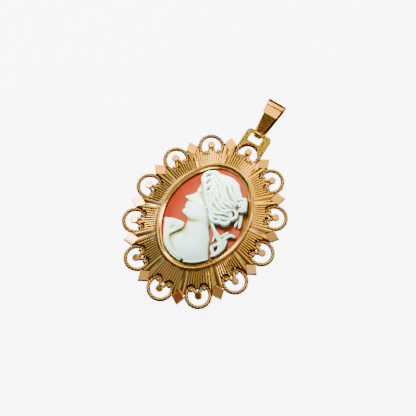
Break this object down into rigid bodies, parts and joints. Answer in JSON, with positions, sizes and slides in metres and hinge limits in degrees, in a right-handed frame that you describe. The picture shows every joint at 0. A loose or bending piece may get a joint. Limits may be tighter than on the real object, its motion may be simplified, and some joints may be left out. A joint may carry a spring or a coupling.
{
  "type": "cameo pendant",
  "caption": "Oval shell cameo pendant in a gold bezel, with an engraved ray plate, a border of wire scrolls, cut grains and lozenges, a slotted hanger and a swinging bail.",
  "frame": {"origin": "centre of the oval on the flat back", "axes": "+Z out of the cameo's face, +Y towards the bail, +X to the wearer's left as seen from the front right"},
  "size_m": [0.0288, 0.044, 0.0049],
  "materials": {
    "shell_ground": "polished shell, the orange-red layer",
    "shell_white": "carved shell, the milky layer, softly polished",
    "yellow_gold": "18 carat yellow gold, polished, the ray plate finely engraved",
    "rose_gold": "18 carat reddish gold, polished"
  },
  "bodies": {
    "pendant": {"cameo_ground": "shell_ground", "cameo_relief": "shell_white", "bezel": "yellow_gold", "ray_plate": "yellow_gold", "scroll_border": "rose_gold", "hanger": "yellow_gold"},
    "bail_body": {"bail": "yellow_gold"}
  },
  "joints": [
    {"name": "bail_swing", "type": "hinge", "parent": "pendant", "child": "bail_body", "pos_m": [-0.00045, 0.0196, 0.0008], "axis": [1, 0, 0], "range_deg": [-140, 130]}
  ]
}
